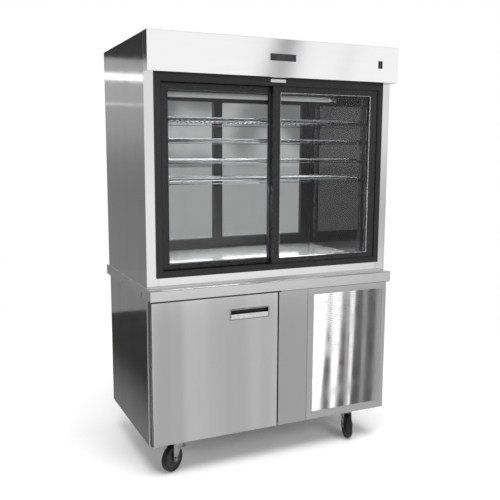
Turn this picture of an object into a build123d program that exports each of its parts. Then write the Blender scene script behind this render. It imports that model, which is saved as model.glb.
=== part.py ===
from build123d import *
import os, math

os.makedirs("parts", exist_ok=True)

# ---------------------------------------------------------------- driving dimensions (mm)
# origin: centre of the footprint on the floor, front faces -Y, +X to the right, +Z up
HW = 635.0            # half width of the worktop
WT_Y0, WT_Y1 = -396.0, 402.0      # worktop front and rear faces
WT_Z0, WT_Z1 = 838.0, 888.0       # worktop underside and top
BS_X = 634.0          # half width of the base cabinet and of the display case
STRIP_X = 578.0       # half width of the strips under the door frames
BS_Y0, BS_Y1 = -331.0, 329.0      # base cabinet front face and back
BS_Z0 = 152.0         # underside of the base cabinet
DR_Y = -367.0         # front face of the door and of the front panels
DR_Z0, DR_Z1 = 158.0, 832.0       # door and panels, bottom and top
DR_X0, DR_X1 = -623.0, 6.0        # base door, left and right edge
CS_Y0, CS_Y1 = -341.0, 351.0      # display case front and rear faces
CS_Z1 = 1989.0        # top of the display case
HD_Y = -400.0         # front face of the header
HD_Z0 = 1822.0        # underside of the header
FR_X = 589.0          # half width of the black door frames
FR_Z0, FR_Z1 = 933.0, 1821.5
FR_Y0, FR_Y1 = -350.0, -290.0     # front door frame, front and rear
IN_X = 560.5          # half width of the display interior
DECK_Z = 955.0        # display floor
CEIL_Z = 1797.0       # display ceiling
SKIN = 1.5            # sheet thickness
SHELF_Z = (1360.0, 1455.0, 1550.0, 1645.0)   # top of each wire shelf
SHELF_X, SHELF_Y = 545.0, 265.0
WHEEL_R, WHEEL_W = 62.5, 32.0
CASTER_YF, CASTER_YR = -292.0, 268.0
LEAD = 25.0           # caster offset from swivel axis to axle


def block(x0, y0, z0, x1, y1, z1, mode=Mode.ADD):
    """axis-aligned block between two corners, joined to or cut from the open part"""
    with Locations((x0, y0, z0)):
        Box(x1 - x0, y1 - y0, z1 - z0, align=(Align.MIN, Align.MIN, Align.MIN), mode=mode)


def out(part, name):
    part.label = name
    export_step(part, "parts/%s.step" % name)


# ================================================================ display case shell
# side skin: one folded sheet with the front post face and a rear return
with BuildPart() as case_side_left:
    with BuildSketch(Plane.XY.offset(WT_Z1)):
        with Locations((-BS_X + SKIN / 2, (CS_Y0 + CS_Y1) / 2)):
            Rectangle(SKIN, CS_Y1 - CS_Y0)
        with Locations(((-BS_X - FR_X) / 2, CS_Y0 + SKIN / 2), ((-BS_X - FR_X) / 2, CS_Y1 - SKIN / 2)):
            Rectangle(BS_X - FR_X, SKIN)
    extrude(amount=CS_Z1 - WT_Z1)
    # the flanges are wider below the door frames
    block(-BS_X + SKIN, CS_Y0, WT_Z1, -STRIP_X - 0.3, CS_Y0 + SKIN, FR_Z0)
    block(-BS_X + SKIN, CS_Y1 - SKIN, WT_Z1, -STRIP_X - 0.3, CS_Y1, FR_Z0)
out(case_side_left.part, "case_side_left")

with BuildPart() as case_side_right:
    with BuildSketch(Plane.XY.offset(WT_Z1)):
        with Locations((BS_X - SKIN / 2, (CS_Y0 + CS_Y1) / 2)):
            Rectangle(SKIN, CS_Y1 - CS_Y0)
        with Locations(((BS_X + FR_X) / 2, CS_Y0 + SKIN / 2), ((BS_X + FR_X) / 2, CS_Y1 - SKIN / 2)):
            Rectangle(BS_X - FR_X, SKIN)
    extrude(amount=CS_Z1 - WT_Z1)
    block(STRIP_X + 0.3, CS_Y0, WT_Z1, BS_X - SKIN, CS_Y0 + SKIN, FR_Z0)
    block(STRIP_X + 0.3, CS_Y1 - SKIN, WT_Z1, BS_X - SKIN, CS_Y1, FR_Z0)
out(case_side_right.part, "case_side_right")

# top skin with the rear face folded down to the rear door frame
with BuildPart() as case_top:
    block(-BS_X + SKIN, CS_Y0 + SKIN, CS_Z1 - SKIN, BS_X - SKIN, CS_Y1 - SKIN, CS_Z1)
    block(-FR_X, CS_Y1 - SKIN, FR_Z1, FR_X, CS_Y1, CS_Z1)
out(case_top.part, "case_top")

# foam slabs between the side skins and the inner walls
with BuildPart() as side_insulation:
    block(-BS_X + SKIN, -288, FR_Z0 + 1, -IN_X - SKIN, 288, CS_Z1 - SKIN - 2)
    block(IN_X + SKIN, -288, FR_Z0 + 1, BS_X - SKIN, 288, CS_Z1 - SKIN - 2)
out(side_insulation.part, "side_insulation")

with BuildPart() as liner_left:
    block(-IN_X - SKIN, -289, FR_Z0, -IN_X, 289, CS_Z1 - SKIN - 2)
out(liner_left.part, "liner_left")

with BuildPart() as liner_right:
    block(IN_X, -289, FR_Z0, IN_X + SKIN, 289, CS_Z1 - SKIN - 2)
out(liner_right.part, "liner_right")

# header: folded pan open at the back, with the switch cut-out at its right end
SW_X, SW_Z, SW_W, SW_H = 530.5, 1903.5, 19.0, 30.5
with BuildPart() as header_fascia:
    block(-BS_X, HD_Y, HD_Z0, BS_X, CS_Y0, CS_Z1)
    block(-BS_X + SKIN, HD_Y + SKIN, HD_Z0 + SKIN, BS_X - SKIN, CS_Y0 + 1, CS_Z1 - SKIN, mode=Mode.SUBTRACT)
    with Locations((SW_X, HD_Y, SW_Z)):
        Box(SW_W, 10, SW_H, mode=Mode.SUBTRACT)
    # two lugs behind the cut-out hold the rocker's pin
    for s in (-1, 1):
        with Locations((SW_X + s * (SW_W / 2 + 1.5), HD_Y + 6, SW_Z)):
            Box(3, 10, 12)
    with Locations(Location((SW_X, HD_Y + 6, SW_Z), (0, 90, 0))):
        Cylinder(1.56, 30, mode=Mode.SUBTRACT)
    fillet(header_fascia.edges().filter_by(Axis.X).group_by(Axis.Y)[0], 1.2)
out(header_fascia.part, "header_fascia")

# blank name plate, slightly crowned at its corners
with BuildPart() as name_plate:
    with BuildSketch(Plane.XZ.offset(-HD_Y)):
        with Locations((2, 1908.5)):
            RectangleRounded(130, 31, 3)
    extrude(amount=2.0)
    fillet(name_plate.edges().group_by(Axis.Y)[0], 0.8)
out(name_plate.part, "name_plate")

# rocker of the light switch: a shallow V face on a cross pin, resting pressed at its lower end
ROCK = math.radians(6)


def tilt(dy, dz):
    """point of the rocker's section, turned about its pin"""
    return (HD_Y + 6 + dy * math.cos(ROCK) - dz * math.sin(ROCK), SW_Z + dy * math.sin(ROCK) + dz * math.cos(ROCK))


with BuildPart() as switch_rocker:
    with BuildSketch(Plane.YZ.offset(SW_X - 8.5)):
        with BuildLine():
            Polyline(tilt(-5.6, -13), tilt(-4.2, 0), tilt(-5.6, 13), tilt(3, 9), tilt(5, 0), tilt(3, -9), close=True)
        make_face()
    extrude(amount=17)
    with Locations(Location((SW_X, HD_Y + 6, SW_Z), (0, 90, 0))):
        Cylinder(1.5, 24.6)
out(switch_rocker.part, "switch_rocker")


# ================================================================ black door frames
def track_frame(y0, y1, sgn):
    """rectangular frame with two tracks; y0 is the outer face, y1 the inner one"""
    lo, hi = min(y0, y1), max(y0, y1)
    block(-FR_X, lo, FR_Z0, FR_X, hi, FR_Z1)
    block(-567, lo + 3.5, 955, 567, hi - 3.5, 1795, mode=Mode.SUBTRACT)
    block(-560, lo - 1, 962, 560, hi + 1, 1788, mode=Mode.SUBTRACT)
    mid = (y0 + y1) / 2 - sgn * 1.0 * 0
    block(-566.9, mid - 0.5, 954, 566.9, mid + 0.5, 960)
    block(-566.9, mid - 0.5, 1790, 566.9, mid + 0.5, 1796)


with BuildPart() as front_door_frame:
    track_frame(FR_Y0, FR_Y1, 1)
    fillet(front_door_frame.edges().filter_by(Axis.Z).group_by(Axis.Y)[0].sort_by(Axis.X)[0], 1.5)
    fillet(front_door_frame.edges().filter_by(Axis.Z).group_by(Axis.Y)[0].sort_by(Axis.X)[-1], 1.5)
out(front_door_frame.part, "front_door_frame")

with BuildPart() as rear_door_frame:
    track_frame(-FR_Y0, -FR_Y1, -1)
out(rear_door_frame.part, "rear_door_frame")

# small plain metal tag on the head of the front frame
with BuildPart() as head_tag:
    with BuildSketch(Plane.XZ.offset(-FR_Y0)):
        with Locations((4, 1811)):
            RectangleRounded(78, 14, 1.5)
    extrude(amount=1.2)
out(head_tag.part, "head_tag")

# sliding doors: (x0, x1, glass x0, glass x1, y0, y1, glass z0, glass z1)
DZ0, DZ1 = 957.0, 1793.0
SLOT = 5.0            # glass thickness


def door_ring(x0, x1, gx0, gx1, y0, y1, gz0, gz1):
    ym = (y0 + y1) / 2
    block(x0, y0, DZ0 + 6, x1, y1, DZ1 - 6)
    # thinner top and bottom tongues run in the tracks
    block(x0, y0 + 2, DZ0, x1, y1 - 2, DZ1)
    block(gx0, y0 - 1, gz0, gx1, y1 + 1, gz1, mode=Mode.SUBTRACT)
    block(gx0 - 8, ym - SLOT / 2, gz0 - 8, gx1 + 8, ym + SLOT / 2, gz1 + 8, mode=Mode.SUBTRACT)


def door_glass(gx0, gx1, y0, y1, gz0, gz1):
    ym = (y0 + y1) / 2
    block(gx0 - 8, ym - SLOT / 2, gz0 - 8, gx1 + 8, ym + SLOT / 2, gz1 + 8)


FRONT_R = (-19.0, 566.0, 17.0, 519.0, -345.9, -321.1, 987.0, 1761.0)
FRONT_L = (-566.0, 17.0, -522.0, -20.0, -318.9, -294.1, 987.0, 1761.0)
REAR_L = (-566.0, -1.0, -516.0, -44.0, 294.1, 318.9, 1011.0, 1761.0)
REAR_R = (-44.0, 566.0, -1.0, 516.0, 321.1, 345.9, 1011.0, 1761.0)

with BuildPart() as front_left_door_frame:
    door_ring(*FRONT_L)
out(front_left_door_frame.part, "front_left_door_frame")
with BuildPart() as front_left_glass:
    door_glass(*FRONT_L[2:])
out(front_left_glass.part, "front_left_glass")
with BuildPart() as front_right_door_frame:
    door_ring(*FRONT_R)
out(front_right_door_frame.part, "front_right_door_frame")
with BuildPart() as front_right_glass:
    door_glass(*FRONT_R[2:])
out(front_right_glass.part, "front_right_glass")
with BuildPart() as rear_left_door_frame:
    door_ring(*REAR_L)
out(rear_left_door_frame.part, "rear_left_door_frame")
with BuildPart() as rear_left_glass:
    door_glass(*REAR_L[2:])
out(rear_left_glass.part, "rear_left_glass")
with BuildPart() as rear_right_door_frame:
    door_ring(*REAR_R)
out(rear_right_door_frame.part, "rear_right_door_frame")
with BuildPart() as rear_right_glass:
    door_glass(*REAR_R[2:])
out(rear_right_glass.part, "rear_right_glass")

# ================================================================ display interior
# display floor: hollow pan whose front and rear faces are the strips under the door frames
with BuildPart() as display_deck:
    block(-STRIP_X, CS_Y0, WT_Z1, STRIP_X, CS_Y1, FR_Z0)
    block(-IN_X, -289, FR_Z0 - 1, IN_X, 289, DECK_Z)
    block(-STRIP_X + SKIN, CS_Y0 + SKIN, WT_Z1 - 1, STRIP_X - SKIN, CS_Y1 - SKIN, FR_Z0 - SKIN, mode=Mode.SUBTRACT)
    block(-IN_X + SKIN, -289 + SKIN, WT_Z1 - 1, IN_X - SKIN, 289 - SKIN, DECK_Z - SKIN, mode=Mode.SUBTRACT)
    # thin flange that lies on the worktop along the front and the back
    block(-BS_X + 16, CS_Y0 - 12, WT_Z1, BS_X - 16, CS_Y0, WT_Z1 + 1.6)
    block(-BS_X + 16, CS_Y1, WT_Z1, BS_X - 16, CS_Y1 + 12, WT_Z1 + 1.6)
out(display_deck.part, "display_deck")

# ceiling pan with the fan opening and two return-air slots
FAN_X, FAN_Y, FAN_R = 0.0, -60.0, 84.0
with BuildPart() as ceiling_housing:
    block(-IN_X, -289, CEIL_Z, IN_X, 289, CEIL_Z + 25)
    block(-IN_X + SKIN, -289 + SKIN, CEIL_Z + SKIN, IN_X - SKIN, 289 - SKIN, CEIL_Z + 26, mode=Mode.SUBTRACT)
    with Locations((FAN_X, FAN_Y, CEIL_Z)):
        Cylinder(FAN_R, 10, mode=Mode.SUBTRACT)
    with Locations((-400, 150, CEIL_Z), (400, 150, CEIL_Z)):
        with GridLocations(0, 16, 1, 8):
            Box(220, 8, 10, mode=Mode.SUBTRACT)
out(ceiling_housing.part, "ceiling_housing")

# evaporator coil: finned block with end plates and return bends
with BuildPart() as evaporator_coil:
    block(-300, 70, CEIL_Z + SKIN, 300, 180, 1960)
    with Locations((0, 125, 1880)):
        with GridLocations(12, 0, 49, 1):
            Box(4, 200, 140, mode=Mode.SUBTRACT)
    block(-298, 75, 1815, 298, 175, 1945)
    for z in (1840, 1880, 1920):
        with Locations(Location((0, 100, z), (0, 90, 0)), Location((0, 150, z), (0, 90, 0))):
            Cylinder(5, 640)
out(evaporator_coil.part, "evaporator_coil")

# evaporator fan motor hung from a two-legged bracket, shaft pointing down
with BuildPart() as evap_fan_motor:
    with Locations((FAN_X, FAN_Y, 1875)):
        Cylinder(34, 56)
    with Locations((FAN_X, FAN_Y, 1830)):
        Cylinder(4, 50)
    block(-118, FAN_Y - 12, 1900, 118, FAN_Y + 12, 1904)
    block(-118, FAN_Y - 12, CEIL_Z + SKIN, -115, FAN_Y + 12, 1904)
    block(115, FAN_Y - 12, CEIL_Z + SKIN, 118, FAN_Y + 12, 1904)
out(evap_fan_motor.part, "evap_fan_motor")


def fan_blades(r_hub, r_tip, h, pitch, n):
    """hub with n flat pitched blades about the local Z axis"""
    Cylinder(r_hub, h)
    with PolarLocations(0, n):
        with Locations(Location(((r_hub + r_tip) / 2 - 1, 0, 0), (pitch, 0, 0))):
            Box(r_tip - r_hub + 2, r_tip * 0.62, 1.6)


with BuildPart(Plane(origin=(FAN_X, FAN_Y, 1822), x_dir=(1, 0, 0), z_dir=(0, 0, 1))) as evap_fan:
    fan_blades(20, 74, 24, 22, 5)
    Cylinder(4.06, 60, mode=Mode.SUBTRACT)
out(evap_fan.part, "evap_fan")

# slotted uprights on the inner walls
with BuildPart() as shelf_standards:
    for sx in (-1, 1):
        for y in (-225, 225):
            x0, x1 = sorted((sx * IN_X, sx * (IN_X - 9)))
            block(x0, y - 12, 970, x1, y + 12, 1760)
            with Locations((sx * (IN_X - 9), y, 1365)):
                with GridLocations(0, 0, 1, 1):
                    with Locations(*[(0, 0, k * 24.0) for k in range(-15, 16)]):
                        Box(8, 4, 12, mode=Mode.SUBTRACT)
out(shelf_standards.part, "shelf_standards")

# shelf clips, one at each corner of each shelf
with BuildPart() as shelf_brackets:
    for z in SHELF_Z:
        for sx in (-1, 1):
            for y in (-225, 225):
                x0, x1 = sorted((sx * (IN_X - 9), sx * (SHELF_X - 8)))
                block(x0, y - 1.5, z - 24, x1, y + 1.5, z - 6)
                block(x0, y - 6, z - 9, x1, y + 6, z - 6)
out(shelf_brackets.part, "shelf_brackets")


def wire_shelf(z):
    """perimeter wire, lower truss wires front and back, and cross wires"""
    w = 5.0
    for y in (-SHELF_Y, SHELF_Y - w):
        block(-SHELF_X, y, z - w, SHELF_X, y + w, z)
        block(-SHELF_X, y + 0.5, z - 19, SHELF_X, y + w - 0.5, z - 15)
    for x in (-SHELF_X, SHELF_X - w):
        block(x, -SHELF_Y, z - w, x + w, SHELF_Y, z)
    with Locations((0, 0, z - w + 1.0)):
        with GridLocations(27.25, 0, 39, 1):
            Box(3.4, 2 * SHELF_Y - 2, 3.4)
    for y in (-SHELF_Y + w / 2, SHELF_Y - w / 2):
        with Locations((0, y, z - 10)):
            with GridLocations(109.0, 0, 11, 1):
                Box(3.4, 3.4, 12)
    with Locations((0, -90, z - w - 1.2), (0, 90, z - w - 1.2)):
        Box(2 * SHELF_X - 2, 4, 4)


with BuildPart() as shelf_1:
    wire_shelf(SHELF_Z[0])
out(shelf_1.part, "shelf_1")
with BuildPart() as shelf_2:
    wire_shelf(SHELF_Z[1])
out(shelf_2.part, "shelf_2")
with BuildPart() as shelf_3:
    wire_shelf(SHELF_Z[2])
out(shelf_3.part, "shelf_3")
with BuildPart() as shelf_4:
    wire_shelf(SHELF_Z[3])
out(shelf_4.part, "shelf_4")

# lamp: channel with two end holders, and the tube between them
LAMP_X, LAMP_Y, LAMP_Z = -54.0, -190.0, 1748.0
with BuildPart() as light_fixture:
    block(LAMP_X - 470, LAMP_Y - 30, CEIL_Z - 22, LAMP_X + 470, LAMP_Y + 30, CEIL_Z)
    for sx in (-1, 1):
        x0, x1 = sorted((LAMP_X + sx * 452, LAMP_X + sx * 466))
        block(x0, LAMP_Y - 11, LAMP_Z - 14, x1, LAMP_Y + 11, CEIL_Z - 20)
    fillet(light_fixture.edges().filter_by(Axis.X).group_by(Axis.Z)[0], 3)
out(light_fixture.part, "light_fixture")
with BuildPart() as light_tube:
    with Locations(Location((LAMP_X, LAMP_Y, LAMP_Z), (0, 90, 0))):
        Cylinder(13, 904)
    fillet(light_tube.edges().filter_by(GeomType.CIRCLE), 3)
out(light_tube.part, "light_tube")

# ================================================================ worktop and base cabinet
with BuildPart() as worktop:
    block(-HW, WT_Y0, WT_Z0, HW, WT_Y1, WT_Z1)
    fillet(worktop.edges().filter_by(Axis.X).group_by(Axis.Z)[-1].group_by(Axis.Y)[0], 6)
    block(-HW + 2, WT_Y0 + 2, WT_Z0 - 1, HW - 2, WT_Y1 - 2, WT_Z1 - 3, mode=Mode.SUBTRACT)
out(worktop.part, "worktop")

# base cabinet: side, back and side as one folded sheet
with BuildPart() as base_shell:
    with BuildSketch(Plane.XY.offset(BS_Z0)):
        with Locations((-BS_X + SKIN / 2, (BS_Y0 + BS_Y1) / 2), (BS_X - SKIN / 2, (BS_Y0 + BS_Y1) / 2)):
            Rectangle(SKIN, BS_Y1 - BS_Y0)
        with Locations((0, BS_Y1 - SKIN / 2)):
            Rectangle(2 * BS_X, SKIN)
    extrude(amount=WT_Z0 - BS_Z0)
    # vent slots low in the back, behind the machine compartment
    with Locations((380, BS_Y1 - SKIN / 2, 300)):
        with GridLocations(0, 0, 1, 1):
            with Locations(*[(0, 0, k * 20.0) for k in range(-5, 6)]):
                Box(260, 6, 8, mode=Mode.SUBTRACT)
out(base_shell.part, "base_shell")

with BuildPart() as base_floor:
    block(-BS_X + SKIN, BS_Y0 + SKIN, BS_Z0, BS_X - SKIN, BS_Y1 - SKIN, BS_Z0 + 3)
out(base_floor.part, "base_floor")

# front frame of the cabinet with the two openings
with BuildPart() as face_frame:
    block(-BS_X + SKIN, BS_Y0, BS_Z0 + 3, BS_X - SKIN, BS_Y0 + 15, WT_Z0)
    block(-585, BS_Y0 - 1, 196, -30, BS_Y0 + 16, 798, mode=Mode.SUBTRACT)
    block(30, BS_Y0 - 1, 186, 600, BS_Y0 + 16, 806, mode=Mode.SUBTRACT)
out(face_frame.part, "face_frame")

# lining of the cold compartment, open at the front
with BuildPart() as base_liner:
    block(-606, BS_Y0 + 15, 172, -12, 285, 820)
    block(-604, BS_Y0 + 14, 174, -14, 283, 818, mode=Mode.SUBTRACT)
out(base_liner.part, "base_liner")

with BuildPart() as base_shelf:
    block(-604, -285, 486, -14, 270, 488)
    for y in (-285, 268):
        block(-604, y, 470, -14, y + 2, 488)
out(base_shelf.part, "base_shelf")

# base door: hollow shell with a rebate for the recessed pull and bores for its two pins
HG_X, HG_Y = -615.0, -352.0
PL_X0, PL_X1, PL_Z0, PL_Z1 = -244.0, -42.0, 715.0, 763.0
with BuildPart() as base_door_shell:
    block(DR_X0, DR_Y, DR_Z0, DR_X1, -337, DR_Z1)
    fillet(base_door_shell.edges().filter_by(Axis.Z).group_by(Axis.Y)[0], 2.5)
    block(DR_X0 + 20, DR_Y + 1.5, DR_Z0 + 20, DR_X1 - 2, -338.5, DR_Z1 - 20, mode=Mode.SUBTRACT)
    block(PL_X0 + 3, DR_Y - 1, PL_Z0 + 3, PL_X1 - 3, DR_Y + 3, PL_Z1 - 3, mode=Mode.SUBTRACT)
    with Locations((HG_X, HG_Y, DR_Z1), (HG_X, HG_Y, DR_Z0)):
        Cylinder(4.08, 32, mode=Mode.SUBTRACT)
out(base_door_shell.part, "base_door_shell")

with BuildPart() as base_door_gasket:
    with BuildSketch(Plane.XZ.offset(337)):
        with Locations(((-606 - 12) / 2, 496)):
            RectangleRounded(594, 640, 8)
        with Locations(((-606 - 12) / 2, 496)):
            RectangleRounded(570, 616, 3, mode=Mode.SUBTRACT)
    extrude(amount=-5.6)
out(base_door_gasket.part, "base_door_gasket")

# recessed pull: flange, cup and the grip plate over its lower half
with BuildPart() as door_pull:
    block(PL_X0, DR_Y - 1.5, PL_Z0, PL_X1, DR_Y, PL_Z1)
    block(PL_X0 + 3, DR_Y - 1.5, PL_Z0 + 3, PL_X1 - 3, DR_Y + 24, PL_Z1 - 3)
    block(PL_X0 + 5, DR_Y - 2, PL_Z0 + 5, PL_X1 - 5, DR_Y + 22, PL_Z1 - 5, mode=Mode.SUBTRACT)
    block(PL_X0 + 4, DR_Y - 1.2, PL_Z0 + 4, PL_X1 - 4, DR_Y + 0.8, PL_Z0 + 26)
    block(PL_X0 + 4, DR_Y + 0.8, PL_Z0 + 24, PL_X1 - 4, DR_Y + 5, PL_Z0 + 26)
out(door_pull.part, "door_pull")

# hinge brackets on the front frame, each with its pin
with BuildPart() as door_hinges:
    for z0, z1, p in ((DR_Z1 + 0.6, DR_Z1 + 4.6, -1), (DR_Z0 - 4.4, DR_Z0 - 0.6, 1)):
        block(-627, -362, z0, -600, BS_Y0, z1)
        with Locations((HG_X, HG_Y, (z0 + z1) / 2 + p * 7)):
            Cylinder(4, 15)
out(door_hinges.part, "door_hinges")

# plain fixed panel beside the door
with BuildPart() as fixed_panel:
    block(12, DR_Y, DR_Z0, 170, BS_Y0, DR_Z1)
    block(13.5, DR_Y + 1.5, DR_Z0 + 1.5, 168.5, BS_Y0 + 1, DR_Z1 - 1.5, mode=Mode.SUBTRACT)
out(fixed_panel.part, "fixed_panel")

# louvred panel: folded pan, window and sloping slats
LV_X0, LV_X1, LV_Z0, LV_Z1, LV_N = 205.0, 612.0, 198.0, 799.0, 63
PITCH = (LV_Z1 - LV_Z0) / LV_N
with BuildPart() as louvre_panel:
    block(171.5, DR_Y, DR_Z0, 634, BS_Y0, DR_Z1)
    block(173, DR_Y + 1.5, DR_Z0 + 1.5, 632.5, BS_Y0 + 1, DR_Z1 - 1.5, mode=Mode.SUBTRACT)
    block(LV_X0, DR_Y - 1, LV_Z0, LV_X1, DR_Y + 4, LV_Z1, mode=Mode.SUBTRACT)
    with BuildSketch(Plane.YZ.offset(LV_X0 - 0.5)):
        with Locations((DR_Y + 2.6, (LV_Z0 + LV_Z1) / 2)):
            with GridLocations(0, PITCH, 1, LV_N):
                Rectangle(1.2, PITCH * 1.02, rotation=-26)
    extrude(amount=LV_X1 - LV_X0 + 1)
out(louvre_panel.part, "louvre_panel")

# ================================================================ machine compartment
with BuildPart() as compressor:
    with BuildSketch(Plane.XZ.offset(-60)):
        with BuildLine():
            Polyline((0, 172), (70, 172), (84, 186), (86, 250), (84, 300), (62, 338), (30, 350), (0, 352), close=True)
        make_face()
    revolve(axis=Axis((0, 60, 0), (0, 0, 1)))
    block(-95, -25, 168, 95, 145, 173)
    for x in (-80, 80):
        for y in (-8, 128):
            with Locations((x, y, 161.5)):
                Cylinder(12, 13)
    with Locations(Location((0, 150, 250), (90, 0, 0))):
        Cylinder(6, 40)
compressor.part.label = "compressor"
export_step(compressor.part.moved(Location((175, 60, 0))), "parts/compressor.step")

CF_X, CF_Z = 410.0, 330.0
with BuildPart() as condenser_coil:
    block(250, -280, 180, 570, -230, 480)
    with Locations((CF_X, -255, 330)):
        with GridLocations(12.0, 0, 25, 1):
            Box(4, 60, 284, mode=Mode.SUBTRACT)
    block(252, -277, 192, 568, -233, 468)
    block(250, -282, BS_Z0 + 3, 256, -228, 482)
    block(564, -282, BS_Z0 + 3, 570, -228, 482)
out(condenser_coil.part, "condenser_coil")

# condenser fan plate, bracket and motor
with BuildPart() as condenser_fan_motor:
    block(256, -228, 182, 564, -225, 478)
    with Locations(Location((CF_X, -226, CF_Z), (90, 0, 0))):
        Cylinder(97, 10, mode=Mode.SUBTRACT)
    with Locations(Location((CF_X, -140, CF_Z), (90, 0, 0))):
        Cylinder(40, 60)
    with Locations(Location((CF_X, -190, CF_Z), (90, 0, 0))):
        Cylinder(4, 60)
    block(CF_X - 140, -118, CF_Z - 10, CF_X + 140, -114, CF_Z + 10)
    block(CF_X - 140, -227, CF_Z - 10, CF_X - 137, -114, CF_Z + 10)
    block(CF_X + 137, -227, CF_Z - 10, CF_X + 140, -114, CF_Z + 10)
out(condenser_fan_motor.part, "condenser_fan_motor")

with BuildPart(Plane(origin=(CF_X, -200, CF_Z), x_dir=(1, 0, 0), z_dir=(0, -1, 0))) as condenser_fan:
    fan_blades(26, 88, 24, 22, 5)
    Cylinder(4.06, 80, mode=Mode.SUBTRACT)
out(condenser_fan.part, "condenser_fan")

# ================================================================ casters
# (swivel x, swivel y, heading of the trailing direction in degrees, brake)
CASTERS = {
    "fl": (-494.0, CASTER_YF, 211.0, True),
    "fr": (459.0, CASTER_YF, 251.0, True),
    "rl": (-490.0, CASTER_YR, 70.0, False),
    "rr": (490.0, CASTER_YR, 110.0, False),
}

with BuildPart() as caster_plates:
    for cx, cy, a, b in CASTERS.values():
        block(cx - 50, cy - 40, BS_Z0 - 4, cx + 50, cy + 40, BS_Z0)
        with Locations((cx, cy, 145.65)):
            Cylinder(24, 4.7)
        with Locations((cx, cy, 139)):
            Cylinder(6, 18)
        with Locations((cx, cy, 129.8)):
            Cylinder(9, 5.4)
        with Locations((cx - 38, cy - 28, 147), (cx + 38, cy - 28, 147), (cx - 38, cy + 28, 147), (cx + 38, cy + 28, 147)):
            Cylinder(6, 3)
out(caster_plates.part, "caster_plates")


def local(cx, cy, a):
    """frame of a caster: x along the trail, y along the axle, z up"""
    return Plane(origin=(cx, cy, 0), x_dir=(math.cos(math.radians(a)), math.sin(math.radians(a)), 0), z_dir=(0, 0, 1))


# one leg of the fork, tapering from the crown to the axle
with BuildPart() as fork_leg:
    with BuildSketch(Plane(origin=(0, 1.5, 0), x_dir=(1, 0, 0), z_dir=(0, -1, 0))):
        with BuildLine():
            Polyline((-26, 137), (34, 137), (36, 118), (37, 62), (35, 55), (30, 50.5), (20, 50.5), (15, 54), (12, 61), (-11, 103), (-26, 118), close=True)
        make_face()
    extrude(amount=3)


def fork_solid(brake):
    with Locations((4, 0, 135)):
        Box(60, 44, 4)
    with Locations((0, 0, 139.9)):
        Cylinder(22, 6.0)
    for s in (-1, 1):
        with Locations((4, s * 20.5, 135)):
            Box(60, 3, 4)
        with Locations((0, s * 20.5, 0)):
            add(fork_leg.part)
    with Locations(Location((LEAD, 0, WHEEL_R), (90, 0, 0))):
        Cylinder(6, 50)
        with Locations((0, 0, 24), (0, 0, -24)):
            Cylinder(10, 4)
    Cylinder(6.08, 400, mode=Mode.SUBTRACT)
    if brake:
        with Locations(Location((-20, 0, 127), (90, 0, 0))):
            Cylinder(3.08, 60, mode=Mode.SUBTRACT)


def wheel_solid():
    with Locations(Location((LEAD, 0, WHEEL_R), (90, 0, 0))):
        Cylinder(WHEEL_R, WHEEL_W)
    fillet(BuildPart._get_context(None).edges().filter_by(GeomType.CIRCLE), 6)
    with Locations(Location((LEAD, 0, WHEEL_R), (90, 0, 0))):
        with Locations((0, 0, WHEEL_W / 2), (0, 0, -WHEEL_W / 2)):
            Cylinder(44, 8, mode=Mode.SUBTRACT)
        Cylinder(13, WHEEL_W + 4)
        Cylinder(6.08, 60, mode=Mode.SUBTRACT)


def brake_solid():
    with Locations(Location((-20, 0, 127), (90, 0, 0))):
        Cylinder(3, 44.6)
        Cylinder(5, 36)
    for q in ((-28, 12, 124, 110), (-38, 16, 114, 100), (-48, 18, 102, 97)):
        with Locations((q[0], 0, (q[2] + q[3]) / 2)):
            Box(q[1], 36, q[2] - q[3])


with BuildPart(local(*CASTERS["fl"][:3])) as caster_fl_fork:
    fork_solid(True)
out(caster_fl_fork.part, "caster_fl_fork")
with BuildPart(local(*CASTERS["fr"][:3])) as caster_fr_fork:
    fork_solid(True)
out(caster_fr_fork.part, "caster_fr_fork")
with BuildPart(local(*CASTERS["rl"][:3])) as caster_rl_fork:
    fork_solid(False)
out(caster_rl_fork.part, "caster_rl_fork")
with BuildPart(local(*CASTERS["rr"][:3])) as caster_rr_fork:
    fork_solid(False)
out(caster_rr_fork.part, "caster_rr_fork")

with BuildPart(local(*CASTERS["fl"][:3])) as caster_fl_wheel:
    wheel_solid()
out(caster_fl_wheel.part, "caster_fl_wheel")
with BuildPart(local(*CASTERS["fr"][:3])) as caster_fr_wheel:
    wheel_solid()
out(caster_fr_wheel.part, "caster_fr_wheel")
with BuildPart(local(*CASTERS["rl"][:3])) as caster_rl_wheel:
    wheel_solid()
out(caster_rl_wheel.part, "caster_rl_wheel")
with BuildPart(local(*CASTERS["rr"][:3])) as caster_rr_wheel:
    wheel_solid()
out(caster_rr_wheel.part, "caster_rr_wheel")

with BuildPart(local(*CASTERS["fl"][:3])) as caster_fl_brake:
    brake_solid()
out(caster_fl_brake.part, "caster_fl_brake")
with BuildPart(local(*CASTERS["fr"][:3])) as caster_fr_brake:
    brake_solid()
out(caster_fr_brake.part, "caster_fr_brake")
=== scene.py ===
import bpy, bmesh, math
from mathutils import Vector, Matrix


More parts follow.
